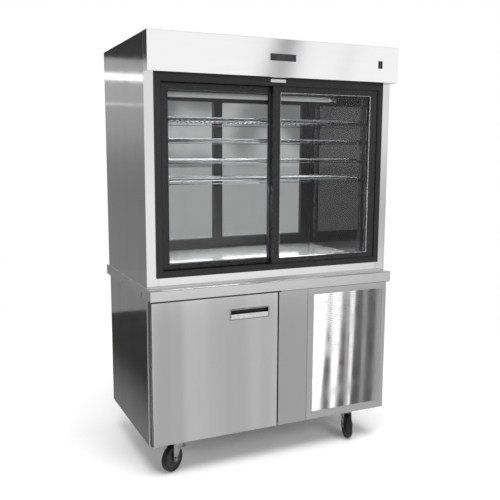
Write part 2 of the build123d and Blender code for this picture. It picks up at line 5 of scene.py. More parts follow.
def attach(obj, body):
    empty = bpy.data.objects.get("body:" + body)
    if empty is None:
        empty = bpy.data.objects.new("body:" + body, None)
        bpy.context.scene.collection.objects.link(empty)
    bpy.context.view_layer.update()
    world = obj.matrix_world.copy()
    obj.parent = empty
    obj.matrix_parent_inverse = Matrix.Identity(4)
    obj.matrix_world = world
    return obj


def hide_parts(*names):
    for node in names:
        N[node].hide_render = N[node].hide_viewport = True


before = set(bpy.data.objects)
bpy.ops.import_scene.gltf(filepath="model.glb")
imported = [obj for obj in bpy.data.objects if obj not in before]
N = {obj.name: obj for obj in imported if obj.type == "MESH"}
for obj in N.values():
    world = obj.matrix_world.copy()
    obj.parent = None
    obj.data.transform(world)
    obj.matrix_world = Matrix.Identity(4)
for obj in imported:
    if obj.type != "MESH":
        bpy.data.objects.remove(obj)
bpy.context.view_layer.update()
MM = 0.001


# ------------------------------------------------------------------ camera
def make_camera():
    cam_data = bpy.data.cameras.new("view")
    cam = bpy.data.objects.new("view", cam_data)
    bpy.context.scene.collection.objects.link(cam)
    yaw, pitch, roll = math.radians(24.09), math.radians(8.38), math.radians(0.07)
    fwd = Vector((math.sin(yaw) * math.cos(pitch), math.cos(yaw) * math.cos(pitch), -math.sin(pitch)))
    cam.rotation_mode = "QUATERNION"
    q = fwd.to_track_quat("-Z", "Y")
    cam.rotation_quaternion = q @ Matrix.Rotation(roll, 3, "Z").to_quaternion()
    cam.location = CAM
    cam_data.sensor_width = 36.0
    cam_data.lens = 48.31
    cam_data.shift_x = 0.0318
    cam_data.shift_y = 0.0024
    cam_data.clip_start, cam_data.clip_end = 0.05, 200
    bpy.context.scene.camera = cam


CAM = Vector((-1.46861, -3.149, 1.48683))
make_camera()
bpy.context.scene.view_settings.view_transform = "Standard"
bpy.context.scene.view_settings.look = "None"


# ------------------------------------------------------------------ node helpers
class Mat:
    """a node material with a Principled shader"""

    def __init__(self, name):
        self.m = bpy.data.materials.new(name)
        self.m.use_nodes = True
        self.nt = self.m.node_tree
        self.b = self.nt.nodes["Principled BSDF"]

    def node(self, kind, **props):
        n = self.nt.nodes.new(kind)
        for k, v in props.items():
            setattr(n, k, v)
        return n

    def link(self, a, b):
        self.nt.links.new(a, b)

    def noise(self, scale, detail=3.0, rough=0.55, offset=(0, 0, 0), distortion=0.0):
        """object-space noise, scale in cycles per metre along x, y, z"""
        tc = self.node("ShaderNodeTexCoord")
        mp = self.node("ShaderNodeMapping")
        mp.inputs["Scale"].default_value = scale
        mp.inputs["Location"].default_value = offset
        self.link(tc.outputs["Object"], mp.inputs["Vector"])
        n = self.node("ShaderNodeTexNoise")
        n.inputs["Scale"].default_value = 1.0
        n.inputs["Detail"].default_value = detail
        n.inputs["Roughness"].default_value = rough
        n.inputs["Distortion"].default_value = distortion
        self.link(mp.outputs["Vector"], n.inputs["Vector"])
        return n.outputs["Fac"]

    def math(self, op, a, b=None, clamp=False):
        n = self.node("ShaderNodeMath", operation=op, use_clamp=clamp)
        for i, v in enumerate((a, b)):
            if v is None:
                continue
            if isinstance(v, (int, float)):
                n.inputs[i].default_value = v
            else:
                self.link(v, n.inputs[i])
        return n.outputs[0]

    def remap(self, v, a, b, c, d):
        n = self.node("ShaderNodeMapRange")
        self.link(v, n.inputs["Value"])
        for k, x in (("From Min", a), ("From Max", b), ("To Min", c), ("To Max", d)):
            n.inputs[k].default_value = x
        return n.outputs["Result"]

    def blend(self, f, c0, c1):
        n = self.node("ShaderNodeMix", data_type="RGBA")
        self.link(f, n.inputs["Factor"])
        for name, c in (("A", c0), ("B", c1)):
            s = [i for i in n.inputs if i.name == name and i.type == "RGBA"][0]
            if isinstance(c, (tuple, list)):
                s.default_value = (*c, 1.0) if len(c) == 3 else c
            else:
                self.link(c, s)
        return [o for o in n.outputs if o.type == "RGBA"][0]

    def bump(self, height, strength, distance, normal=None):
        n = self.node("ShaderNodeBump")
        n.inputs["Strength"].default_value = strength
        n.inputs["Distance"].default_value = distance
        self.link(height, n.inputs["Height"])
        if normal is not None:
            self.link(normal, n.inputs["Normal"])
        return n.outputs["Normal"]


GRAIN = {"x": (5, 1500, 1500), "y": (1500, 5, 1500), "z": (1500, 1500, 5)}
STREAK = {"x": (0.9, 240, 240), "y": (240, 0.9, 240), "z": (240, 240, 0.9)}


def steel(name, grain, base=0.6, rough=0.2, wave=(2.2, 2.2, 0.7), depth=0.0016, var=0.03, warm=0.0, seed=0.0, metallic=1.0, sheet_and_reflection_bands=0.0, fine_bump=0.2, zone=None):
    """stainless sheet: fine grain lines, longer polishing streaks, handling marks and slow waves in the sheet"""
    t = Mat(name)
    fine = t.noise(GRAIN[grain] if fine_bump else (24, 24, 24), 4, 0.7, (seed, 0, 0))
    streak = t.noise(STREAK[grain] if fine_bump else (3, 14, 14), 3, 0.6, (seed, 3.1, 0))
    hand = t.noise((5, 5, 5), 4, 0.6, (seed, 7.7, 1.3))
    lo = (base * (1 - var), base * (1 - var), base * (1 - var - 0.2 * warm))
    hi = (base * (1 + var), base * (1 + var), base * (1 + var + 0.2 * warm))
    mixed = t.math("ADD", t.math("MULTIPLY", fine, 0.4), t.math("MULTIPLY", streak, 0.6))
    col = t.blend(t.remap(mixed, 0.35, 0.65, 0, 1), lo, hi)
    if sheet_and_reflection_bands:
        # broad soft darker bands across the grain: partly the rolled sheet's own tone, and on the door, where they are
        # strongest, painted reflection bands
        wide = {"x": (0.15, 5.5, 5.5), "y": (5.5, 0.15, 5.5), "z": (5.5, 5.5, 0.15)}[grain]
        b = t.noise(wide, 2.0, 0.5, (seed * 0.37, 0, seed), 0.25)
        k = 1 - sheet_and_reflection_bands
        col = t.blend(t.remap(b, 0.38, 0.62, 0, 1), (base * k, base * k, base * k), col)
    t.link(col, t.b.inputs["Base Color"])
    q = 0.25 if not fine_bump else 1.0
    r = t.math("ADD", t.remap(fine, 0.3, 0.7, rough - 0.02 * q, rough + 0.03 * q), t.remap(hand, 0.35, 0.7, -0.01, 0.03))
    t.link(r, t.b.inputs["Roughness"])
    t.b.inputs["Metallic"].default_value = metallic
    slow = t.noise(wave, 1.5, 0.45, (seed * 1.7, 0.4, seed))
    n = t.bump(slow, 1.0, depth)
    if fine_bump:
        n = t.bump(fine, fine_bump, 0.000004, n)
    t.link(n, t.b.inputs["Normal"])
    if zone:
        # the part of the piece inside the box zone = (lo, hi) in metres has its own base tone and metallic; on the
        # door this is painted shade, on the deck painted light
        (lo3, hi3, zbase, zmetal) = zone
        tc = t.node("ShaderNodeTexCoord")
        sp = t.node("ShaderNodeSeparateXYZ")
        t.link(tc.outputs["Object"], sp.inputs[0])
        inside = None
        for i in range(3):
            for op, lim in (("GREATER_THAN", lo3[i]), ("LESS_THAN", hi3[i])):
                v = t.math(op, sp.outputs[i], lim)
                inside = v if inside is None else t.math("MULTIPLY", inside, v)
        zcol = t.blend(t.remap(mixed, 0.35, 0.65, 0, 1), (zbase * (1 - var),) * 3, (zbase * (1 + var),) * 3)
        t.link(t.blend(inside, col, zcol), t.b.inputs["Base Color"])
        t.link(t.remap(inside, 0, 1, metallic, zmetal), t.b.inputs["Metallic"])
    return t.m


def black_metal(name, base=0.018, rough=0.34, seed=0.0):
    """black anodised or painted section with a fine orange peel and dusty handling marks"""
    t = Mat(name)
    a = t.noise((1400, 1400, 1400), 2, 0.5, (seed, 0, 0))
    dust = t.noise((9, 9, 9), 5, 0.65, (0, seed, 0))
    col = t.blend(t.remap(dust, 0.35, 0.75, 0, 1), (base, base, base * 1.05), (base * 1.35, base * 1.35, base * 1.4))
    t.link(col, t.b.inputs["Base Color"])
    t.link(t.remap(dust, 0.3, 0.75, rough - 0.02, rough + 0.04), t.b.inputs["Roughness"])
    t.b.inputs["Specular IOR Level"].default_value = 0.32
    t.link(t.bump(a, 0.2, 0.00002), t.b.inputs["Normal"])
    return t.m


def plain(name, c0, c1, rough=0.5, scale=(40, 40, 40), metallic=0.0, bump=0.1, depth=0.0002, fine=(900, 900, 900), spec=0.5):
    """two-tone mottled finish with a fine surface texture"""
    t = Mat(name)
    a = t.noise(scale, 4, 0.6)
    f = t.noise(fine, 2, 0.5)
    t.link(t.blend(t.remap(a, 0.35, 0.68, 0, 1), c0, c1), t.b.inputs["Base Color"])
    t.link(t.remap(a, 0.3, 0.7, rough - 0.06, rough + 0.08), t.b.inputs["Roughness"])
    t.b.inputs["Metallic"].default_value = metallic
    t.b.inputs["Specular IOR Level"].default_value = spec
    t.link(t.bump(f, bump, depth), t.b.inputs["Normal"])
    return t.m


def glass(name, tint, haze=0.015, seed=0.0):
    """clear float glass that lets lamp light through, with faint smears"""
    t = Mat(name)
    t.b.inputs["Base Color"].default_value = (*tint, 1)
    t.b.inputs["Transmission Weight"].default_value = 1.0
    t.b.inputs["IOR"].default_value = 1.3
    t.b.inputs["Specular IOR Level"].default_value = 0.07
    smear = t.noise((6, 6, 2.5), 4, 0.6, (seed, 0, 0), 0.6)
    t.link(t.remap(smear, 0.45, 0.75, 0.0, haze), t.b.inputs["Roughness"])
    lp = t.node("ShaderNodeLightPath")
    tr = t.node("ShaderNodeBsdfTransparent")
    tr.inputs["Color"].default_value = (tint[0] * 0.95, tint[1] * 0.95, tint[2] * 0.95, 1)
    mix = t.node("ShaderNodeMixShader")
    out = [n for n in t.nt.nodes if n.type == "OUTPUT_MATERIAL"][0]
    t.link(lp.outputs["Is Shadow Ray"], mix.inputs[0])
    t.link(t.b.outputs[0], mix.inputs[1])
    t.link(tr.outputs[0], mix.inputs[2])
    t.link(mix.outputs[0], out.inputs["Surface"])
    return t.m


def lamp_white(name, power):
    """frosted tube, brighter in its middle than at its cathodes"""
    t = Mat(name)
    tc = t.node("ShaderNodeTexCoord")
    sx = t.node("ShaderNodeSeparateXYZ")
    t.link(tc.outputs["Object"], sx.inputs[0])
    end = t.remap(t.math("ABSOLUTE", t.math("ADD", sx.outputs["X"], 0.054)), 0.36, 0.44, 1.0, 0.35)
    f = t.noise((300, 300, 300), 2, 0.5)
    t.link(t.blend(f, (0.55, 0.56, 0.56), (0.64, 0.64, 0.64)), t.b.inputs["Base Color"])
    t.b.inputs["Roughness"].default_value = 0.25
    t.b.inputs["Emission Color"].default_value = (1.0, 0.985, 0.95, 1)
    t.link(t.math("MULTIPLY", end, power), t.b.inputs["Emission Strength"])
    return t.m


M = {
    "side": steel("side_steel", "z", 0.64, 0.07, (1.0, 2.2, 1.8), 0.0013, seed=1.0, sheet_and_reflection_bands=0.05),
    "side_r": steel("side_steel_right", "z", 0.62, 0.10, (1.0, 2.2, 1.8), 0.0016, seed=4.0, sheet_and_reflection_bands=0.06),
    "header": steel("header_steel", "x", 0.80, 0.075, (1.2, 1.0, 0.6), 0.0003, seed=2.0, var=0.012),
    "top": steel("top_steel", "x", 0.6, 0.25, (1.6, 1.6, 1.0), 0.0014, seed=3.0, sheet_and_reflection_bands=0.08),
    "worktop": steel("worktop_steel", "x", 0.6, 0.2, (1.2, 1.2, 0.6), 0.0003, seed=5.0, var=0.02, sheet_and_reflection_bands=0.05, fine_bump=0),
    # the door's strong vertical bands are painted reflection bands of the floor and room
    "door": steel("door_steel", "z", 0.62, 0.12, (2.6, 2.0, 0.25), 0.0022, seed=7.0, var=0.012, sheet_and_reflection_bands=0.2,
                  # zone: the door's left return, back in the gap beside the cabinet, is painted near black as the
                  # gap's shade
                  zone=((-1, -0.3650, 0), (-0.6212, 0, 1), 0.06, 1.0)),
    "panel": steel("panel_steel", "z", 0.47, 0.15, (2.2, 2.0, 0.3), 0.0010, seed=8.0, var=0.012, sheet_and_reflection_bands=0.06),
    "louvre": steel("louvre_steel", "x", 0.49, 0.035, (1.6, 1.0, 0.6), 0.00006, seed=9.0, var=0.02, fine_bump=0,
                    zone=((0.2045, -1, 0.1975), (0.6125, 1, 0.7995), 0.8, 1.0)),
    "base": steel("base_steel", "z", 0.6, 0.07, (1.1, 2.2, 2.0), 0.0018, seed=10.0, sheet_and_reflection_bands=0.08),
    # the inner liners are the same steel given a far darker tone: painted shade inside the case
    "liner": steel("liner_steel_painted_shade", "z", 0.13, 0.05, (1.5, 1.6, 1.3), 0.0010, seed=11.0, var=0.012, fine_bump=0),
    # the ceiling is given a dark steel tone: painted shade under the top of the case
    "ceiling": steel("ceiling_steel_painted_shade", "x", 0.26, 0.07, (2.0, 2.0, 2.0), 0.0020, seed=12.0, var=0.05, fine_bump=0),
    "deck": steel("deck_steel_with_painted_light", "x", 0.64, 0.10, (1.2, 1.2, 1.0), 0.0005, seed=13.0, var=0.012, fine_bump=0,
                  # zone: the deck's field inside the case is whiter and less metallic than its rim: painted light of
                  # the case lamp
                  zone=((-0.561, -0.2895, 0.93), (0.561, 0.2895, 0.96), 0.92, 0.8)),
    "inner": steel("inner_steel", "z", 0.5, 0.22, (1.5, 1.5, 1.5), 0.0008, seed=14.0),
    "chrome": plain("chrome_wire", (0.36, 0.37, 0.38), (0.5, 0.5, 0.51), 0.12, (60, 60, 60), 1.0, 0.08, 0.0001),
    "zinc": plain("zinc_plate", (0.26, 0.26, 0.255), (0.42, 0.42, 0.41), 0.3, (55, 55, 55), 1.0, 0.15, 0.0002),
    "bright": plain("bright_steel", (0.66, 0.66, 0.66), (0.78, 0.78, 0.78), 0.2, (80, 80, 80), 1.0, 0.1, 0.0001),
    # shelf standards and brackets are steel given a near black tone: painted shade inside the case
    "standard": plain("standard_steel_painted_shade", (0.06, 0.06, 0.06), (0.1, 0.1, 0.1), 0.3, (40, 40, 40), 1.0, 0.1, 0.0001),
    "frame": black_metal("black_frame_metal", 0.011, 0.30, 1.0),
    "door_black": black_metal("door_black_metal", 0.009, 0.27, 2.0),
    "rear_black": black_metal("rear_black_metal", 0.005, 0.34, 3.0),
    "gasket": plain("glazing_gasket", (0.012, 0.012, 0.013), (0.028, 0.028, 0.03), 0.5, (70, 70, 70), 0, 0.2, 0.0003),
    # bright trim for the name plate rim, also used as the painted highlight round the front right door's glass
    "bead": plain("bright_trim_and_painted_highlight", (0.4, 0.4, 0.4), (0.52, 0.52, 0.52), 0.26, (60, 60, 60), 1.0, 0.1, 0.0001),
    "plate": plain("black_plate", (0.012, 0.012, 0.013), (0.022, 0.022, 0.024), 0.18, (30, 30, 30), 0, 0.05, 0.0001),
    "tag": steel("tag_metal", "x", 0.62, 0.3, (9, 9, 9), 0.0006, seed=15.0, var=0.06),
    # black for the pull's cup and gasket, and painted shade in the screw crosses and under the worktop's edge
    "recess": plain("black_and_painted_shade", (0.008, 0.008, 0.008), (0.016, 0.016, 0.017), 0.45, (90, 90, 90), 0, 0.2, 0.0002),
    # the light fixture's channel, a pale sheet part, is given dark metal: painted shade under the ceiling
    "white": plain("lamp_channel", (0.2, 0.2, 0.2), (0.3, 0.3, 0.3), 0.16, (12, 12, 12), 1.0, 0.1, 0.0001),
    "foam": plain("foam", (0.62, 0.5, 0.26), (0.78, 0.67, 0.38), 0.9, (120, 120, 120), 0, 0.6, 0.002, (260, 260, 260)),
    "rubber": plain("grey_gasket", (0.05, 0.05, 0.052), (0.085, 0.085, 0.088), 0.6, (60, 60, 60), 0, 0.25, 0.0003),
    "fins": plain("fin_aluminium", (0.55, 0.55, 0.56), (0.72, 0.72, 0.73), 0.35, (90, 90, 90), 1.0, 0.15, 0.0002),
    "motor": plain("motor_paint", (0.018, 0.018, 0.02), (0.035, 0.035, 0.037), 0.35, (25, 25, 25), 0, 0.25, 0.0004, (500, 500, 500)),
    "fan": plain("fan_aluminium", (0.42, 0.42, 0.44), (0.56, 0.56, 0.58), 0.35, (30, 30, 30), 1.0, 0.1, 0.0002),
    "tyre": plain("tyre", (0.004, 0.004, 0.004), (0.010, 0.010, 0.010), 0.45, (45, 45, 45), 0, 0.3, 0.0002, (420, 420, 420), 0.3),
    "hub": plain("hub_plastic", (0.008, 0.008, 0.008), (0.016, 0.016, 0.016), 0.38, (60, 60, 60), 0, 0.2, 0.0002),
    "pedal": plain("pedal_steel", (0.16, 0.16, 0.16), (0.3, 0.3, 0.3), 0.4, (70, 70, 70), 1.0, 0.2, 0.0003),
    "caulk": plain("sealant", (0.3, 0.3, 0.3), (0.42, 0.42, 0.42), 0.5, (50, 50, 50), 0, 0.3, 0.0006, (160, 160, 160)),
    "glass_f": glass("front_glass", (0.97, 0.985, 0.98), 0.02, 1.0),
    "glass_r": glass("rear_glass", (0.93, 0.95, 0.945), 0.03, 2.0),
    "lamp": lamp_white("lamp_tube", 0.05),
    # near black: painted shade inside the worktop's hook slots
    "dark": plain("slot_painted_shade", (0.004, 0.004, 0.004), (0.008, 0.008, 0.008), 0.7, (90, 90, 90)),
}

CAD_MATS = {
    "side": ["case_side_left"], "side_r": ["case_side_right"], "top": ["case_top"], "header": ["header_fascia"],
    "foam": ["side_insulation"], "liner": ["liner_left", "liner_right"], "plate": ["name_plate", "switch_rocker"],
    "frame": ["front_door_frame"], "rear_black": ["rear_door_frame", "rear_left_door_frame", "rear_right_door_frame"],
    "door_black": ["front_left_door_frame", "front_right_door_frame"], "tag": ["head_tag"],
    "glass_f": ["front_left_glass", "front_right_glass"], "glass_r": ["rear_left_glass", "rear_right_glass"],
    "deck": ["display_deck"], "ceiling": ["ceiling_housing"], "fins": ["evaporator_coil", "condenser_coil"],
    "motor": ["evap_fan_motor", "condenser_fan_motor", "compressor"], "fan": ["evap_fan", "condenser_fan"],
    "bright": ["door_hinges"], "standard": ["shelf_standards", "shelf_brackets"], "white": ["light_fixture"],
    "worktop": ["worktop"], "base": ["base_shell"], "inner": ["base_floor", "face_frame", "base_liner", "base_shelf"],
    "door": ["base_door_shell"], "rubber": ["base_door_gasket"], "panel": ["fixed_panel"], "louvre": ["louvre_panel"],
    "zinc": ["caster_plates", "caster_fl_fork", "caster_fr_fork", "caster_rl_fork", "caster_rr_fork"],
    "pedal": ["caster_fl_brake", "caster_fr_brake"],
}
for key, names in CAD_MATS.items():
    for n in names:
        o = N[n]
        if not o.material_slots:
            o.data.materials.append(M[key])
        for s in o.material_slots:
            s.material = M[key]


def soften(names, width_mm, segments=2, angle=35):
    """eased edges on the CAD pieces, as bent and deburred sheet has"""
    for n in names:
        o = N[n]
        w = o.modifiers.new("weld", "WELD")
        w.merge_threshold = 0.00001
        b = o.modifiers.new("edges", "BEVEL")
        b.width = width_mm * MM
        b.segments = segments
        b.limit_method = "ANGLE"
        b.angle_limit = math.radians(angle)
        b.use_clamp_overlap = True
        b.harden_normals = False


soften(["case_side_left", "case_side_right", "case_top", "display_deck", "fixed_panel", "door_hinges", "base_shell", "face_frame"], 0.5)
soften(["header_fascia", "base_door_shell"], 0.45)
soften(["front_door_frame", "rear_door_frame"], 1.0)
soften(["front_left_door_frame", "front_right_door_frame", "rear_left_door_frame", "rear_right_door_frame"], 1.2)
soften(["caster_plates", "caster_fl_fork", "caster_fr_fork", "caster_rl_fork", "caster_rr_fork"], 0.8)
soften(["caster_fl_brake", "caster_fr_brake", "light_fixture", "shelf_brackets", "base_shelf"], 0.6)


# ------------------------------------------------------------------ mesh helpers (input in mm)
def finish_mesh(bm, name, mat, body="cabinet", smooth=False, angle=40, replaces=()):
    bmesh.ops.remove_doubles(bm, verts=bm.verts, dist=0.01)
    bmesh.ops.recalc_face_normals(bm, faces=bm.faces)
    bmesh.ops.scale(bm, vec=(MM, MM, MM), verts=bm.verts)
    me = bpy.data.meshes.new(name)
    bm.to_mesh(me)
    bm.free()
    o = bpy.data.objects.new(name, me)
    bpy.context.scene.collection.objects.link(o)
    for m in (mat if isinstance(mat, (list, tuple)) else [mat]):
        me.materials.append(m)
    if smooth:
        for p in me.polygons:
            p.use_smooth = True
        me.set_sharp_from_angle(angle=math.radians(angle))
    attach(o, body)
    if replaces:
        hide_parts(*replaces)
    return o


def add_box(bm, x0, y0, z0, x1, y1, z1, bevel=0.0, seg=2, mat=0):
    vs = [bm.verts.new(p) for p in ((x0, y0, z0), (x1, y0, z0), (x1, y1, z0), (x0, y1, z0), (x0, y0, z1), (x1, y0, z1), (x1, y1, z1), (x0, y1, z1))]
    fs = [bm.faces.new([vs[i] for i in f]) for f in ((0, 3, 2, 1), (4, 5, 6, 7), (0, 1, 5, 4), (1, 2, 6, 5), (2, 3, 7, 6), (3, 0, 4, 7))]
    for f in fs:
        f.material_index = mat
    if bevel:
        es = list({e for f in fs for e in f.edges})
        r = bmesh.ops.bevel(bm, geom=es + vs, offset=bevel, segments=seg, affect="EDGES", profile=0.5)
        for f in r["faces"]:
            f.material_index = mat


def add_tube(bm, pts, r, n=10, closed=False, mat=0):
    """round wire along a polyline"""
    pts = [Vector(p) for p in pts]
    k = len(pts)
    rings = []
    ref = None
    for i, p in enumerate(pts):
        a = pts[(i - 1) % k] if (closed or i > 0) else p
        b = pts[(i + 1) % k] if (closed or i < k - 1) else p
        t = (b - a).normalized()
        if ref is None:
            ref = Vector((0, 0, 1)) if abs(t.z) < 0.9 else Vector((1, 0, 0))
        u = (ref - t * ref.dot(t)).normalized()
        v = t.cross(u)
        ref = u
        rings.append([bm.verts.new(p + (u * math.cos(q) + v * math.sin(q)) * r) for q in (2 * math.pi * j / n for j in range(n))])
    last = k if closed else k - 1
    for i in range(last):
        A, B = rings[i], rings[(i + 1) % k]
        for j in range(n):
            f = bm.faces.new((A[j], A[(j + 1) % n], B[(j + 1) % n], B[j]))
            f.material_index = mat
            f.smooth = True
    if not closed:
        bm.faces.new(rings[0][::-1]).material_index = mat
        bm.faces.new(rings[-1]).material_index = mat


def add_lathe(bm, profile, origin, axis, n=48, mats=None):
    """closed section of (radius, height) turned about axis through origin"""
    o, a = Vector(origin), Vector(axis).normalized()
    u = a.orthogonal().normalized()
    v = a.cross(u)
    rings = []
    for r, h in profile:
        if r < 1e-6:
            rings.append([bm.verts.new(o + a * h)])
        else:
            rings.append([bm.verts.new(o + a * h + (u * math.cos(q) + v * math.sin(q)) * r) for q in (2 * math.pi * j / n for j in range(n))])
    for i in range(len(rings) - 1):
        A, B = rings[i], rings[i + 1]
        mi = mats[i] if mats else 0
        for j in range(n):
            j2 = (j + 1) % n
            if len(A) == 1 and len(B) == 1:
                continue
            if len(A) == 1:
                f = bm.faces.new((A[0], B[j2], B[j]))
            elif len(B) == 1:
                f = bm.faces.new((A[j], A[j2], B[0]))
            else:
                f = bm.faces.new((A[j], A[j2], B[j2], B[j]))
            f.material_index = mi
            f.smooth = True


def add_ring(bm, outer, inner, section, mat=0):
    """mitred section round a rectangle in the XZ plane. outer and inner are (x0, x1, z0, z1);
    section points are (edge, distance, y): distance in from the outer edge ('o') or out from the inner one ('i')"""
    ox0, ox1, oz0, oz1 = outer
    ix0, ix1, iz0, iz1 = inner
    loops = []
    for kind, d, y in section:
        if kind == "o":
            c = (ox0 + d, ox1 - d, oz0 + d, oz1 - d)
        else:
            c = (ix0 - d, ix1 + d, iz0 - d, iz1 + d)
        loops.append([bm.verts.new(p) for p in ((c[0], y, c[2]), (c[1], y, c[2]), (c[1], y, c[3]), (c[0], y, c[3]))])
    k = len(loops)
    for i in range(k):
        A, B = loops[i], loops[(i + 1) % k]
        for j in range(4):
            f = bm.faces.new((A[j], A[(j + 1) % 4], B[(j + 1) % 4], B[j]))
            f.material_index = mat


def screws(name, places, r=4.0, h=1.8, body="cabinet", mat="bright"):
    """pan heads with a cross recess shown as a black cross, painted shade; places are (point, outward normal)"""
    bm = bmesh.new()
    for p, nrm in places:
        a = Vector(nrm).normalized()
        p = Vector(p)
        u = a.orthogonal().normalized()
        v = a.cross(u)
        add_lathe(bm, [(0, -0.3), (r, -0.3), (r, h * 0.35), (r * 0.86, h * 0.75), (r * 0.6, h), (r * 0.5, h), (r * 0.38, h * 0.55), (0, h * 0.5)], p, a, 20, [0, 0, 0, 0, 0, 1, 1])
        # the cross is a thin black box over the head: painted shade of the cross recess
        for d in (u, v):
            w = a.cross(d)
            L, W = r * 0.5, r * 0.11
            q = [p + a * (h + 0.02) + d * s1 * L + w * s2 * W for s1, s2 in ((-1, -1), (1, -1), (1, 1), (-1, 1))]
            low = [x - a * 0.5 for x in q]
            vs = [bm.verts.new(x) for x in q + low]
            for f in ((0, 1, 2, 3), (7, 6, 5, 4), (0, 4, 5, 1), (1, 5, 6, 2), (2, 6, 7, 3), (3, 7, 4, 0)):
                bm.faces.new([vs[i] for i in f]).material_index = 1
    return finish_mesh(bm, name, [M[mat], M["recess"]], body)


# ------------------------------------------------------------------ wire shelves
SHELF_Z = (1360.0, 1455.0, 1550.0, 1645.0)
SX, SY = 545.0, 265.0


def arc_loop(x, y, z, r, n=5):
    pts = []
    for cx, cy, a0 in ((x - r, y - r, 0), (-x + r, y - r, 90), (-x + r, -y + r, 180), (x - r, -y + r, 270)):
        for i in range(n + 1):
            q = math.radians(a0 + 90 * i / n)
            pts.append((cx + r * math.cos(q), cy + r * math.sin(q), z))
    return pts


for i, z in enumerate(SHELF_Z):
    bm = bmesh.new()
    add_tube(bm, arc_loop(SX - 2.6, SY - 2.6, z - 2.7, 14), 2.6, 10, True)
    for y in (-SY + 2.6, SY - 2.6):
        add_tube(bm, [(-SX + 16, y, z - 16.9), (SX - 16, y, z - 16.9)], 2.1, 10)
        for j in range(11):
            x = (j - 5) * 109
            add_tube(bm, [(x, y + (1.0 if y < 0 else -1.0), z - 16.9), (x, y + (1.0 if y < 0 else -1.0), z - 3.0)], 1.5, 6)
    for j in range(39):
        x = (j - 19) * 27.25
        add_tube(bm, [(x, -SY + 3.2, z - 3.2), (x, SY - 3.2, z - 3.2)], 1.55, 8)
    for y in (-90, 90):
        add_tube(bm, [(-SX + 4, y, z - 6.4), (SX - 4, y, z - 6.4)], 2.1, 10)
    finish_mesh(bm, "wire_shelf_%d" % (i + 1), M["chrome"], replaces=["shelf_%d" % (i + 1)])

# ------------------------------------------------------------------ lamp
bm = bmesh.new()
L, LX = 452.0, -54.0
add_lathe(bm, [(0, -L), (4, -L), (11.5, -L + 0.6), (12.9, -L + 3), (12.9, -L + 22), (12.4, -L + 23), (12.4, L - 23), (12.9, L - 22), (12.9, L - 3), (11.5, L - 0.6), (4, L), (0, L)],
          (LX, -190, 1748), (1, 0, 0), 32, [1, 1, 1, 1, 1, 0, 1, 1, 1, 1, 1])
for s in (-1, 1):
    for dz in (-6, 6):
        add_tube(bm, [(LX + s * (L - 1), -190, 1748 + dz), (LX + s * (L + 5), -190, 1748 + dz)], 1.2, 8, mat=1)
finish_mesh(bm, "lamp_tube_glass", [M["lamp"], M["bright"]], smooth=True, replaces=["light_tube"])
# folded reflector lips along the lamp channel
bm = bmesh.new()
for s in (-1, 1):
    add_box(bm, LX - 470, -190 + s * 29 - 0.8, 1775 - 6, LX + 470, -190 + s * 29 + 0.8, 1775 + 2, 0.4)
finish_mesh(bm, "lamp_channel_lips", M["bright"])

# ------------------------------------------------------------------ black frames: face ribs and track lips
bm = bmesh.new()
F_OUT, F_IN = (-589, 589, 933, 1821.5), (-560, 560, 962, 1788)
for d0, d1, k in (("o", 5.0, 0), ("i", 9.0, 0)):
    s = [(d0, d1, -349.6), (d0, d1, -350.9), (d0, d1 + (2.4 if d0 == "o" else -2.4), -350.9), (d0, d1 + (2.4 if d0 == "o" else -2.4), -349.6)]
    add_ring(bm, F_OUT, F_IN, s)
add_ring(bm, F_OUT, F_IN, [("i", 1.6, -350.2), ("i", 1.6, -351.4), ("i", 0.4, -351.8), ("i", -0.6, -351.0), ("i", -0.6, -348.5), ("i", 0.2, -348.5)])
finish_mesh(bm, "front_frame_ribs", M["frame"])
bm = bmesh.new()
for d in (6.0, 20.0):
    add_ring(bm, F_OUT, F_IN, [("o", d, 349.6), ("o", d, 350.8), ("o", d + 2.2, 350.8), ("o", d + 2.2, 349.6)])
finish_mesh(bm, "rear_frame_ribs", M["rear_black"])

# glazing gaskets and face ribs on each sliding door
DOORS = {
    "front_right": ((-19.0, 566.0), (17.0, 519.0, 987.0, 1761.0), -345.9, -321.1, "front_right_door"),
    "front_left": ((-566.0, 17.0), (-522.0, -20.0, 987.0, 1761.0), -318.9, -294.1, "front_left_door"),
    "rear_left": ((-566.0, -1.0), (-516.0, -44.0, 1011.0, 1761.0), 294.1, 318.9, "rear_left_door"),
    "rear_right": ((-44.0, 566.0), (-1.0, 516.0, 1011.0, 1761.0), 321.1, 345.9, "rear_right_door"),
}
for nm, ((x0, x1), g, y0, y1, body) in DOORS.items():
    ym = (y0 + y1) / 2
    out, inn = (x0, x1, 963.0, 1787.0), g
    bm = bmesh.new()
    for sgn, yf in ((-1, y0), (1, y1)):
        yg = ym + sgn * 2.6
        # rubber wedge from the section's inner edge down to the glass
        add_ring(bm, out, inn, [("i", 0.0, yf + sgn * 0.2), ("i", -1.6, yf + sgn * 0.35), ("i", -3.4, yf - sgn * 1.6), ("i", -4.6, yg + sgn * 0.6), ("i", -4.6, yg), ("i", 0.0, yg)])
    finish_mesh(bm, nm + "_glazing_gasket", M["gasket"], body)
    bm = bmesh.new()
    for sgn, yf in ((-1, y0), (1, y1)):
        add_ring(bm, out, inn, [("i", 7.0, yf - sgn * 0.2), ("i", 7.0, yf + sgn * 0.55), ("i", 5.2, yf + sgn * 0.55), ("i", 5.2, yf - sgn * 0.2)])
    finish_mesh(bm, nm + "_door_ribs", M["rear_black" if "rear" in nm else "door_black"], body)
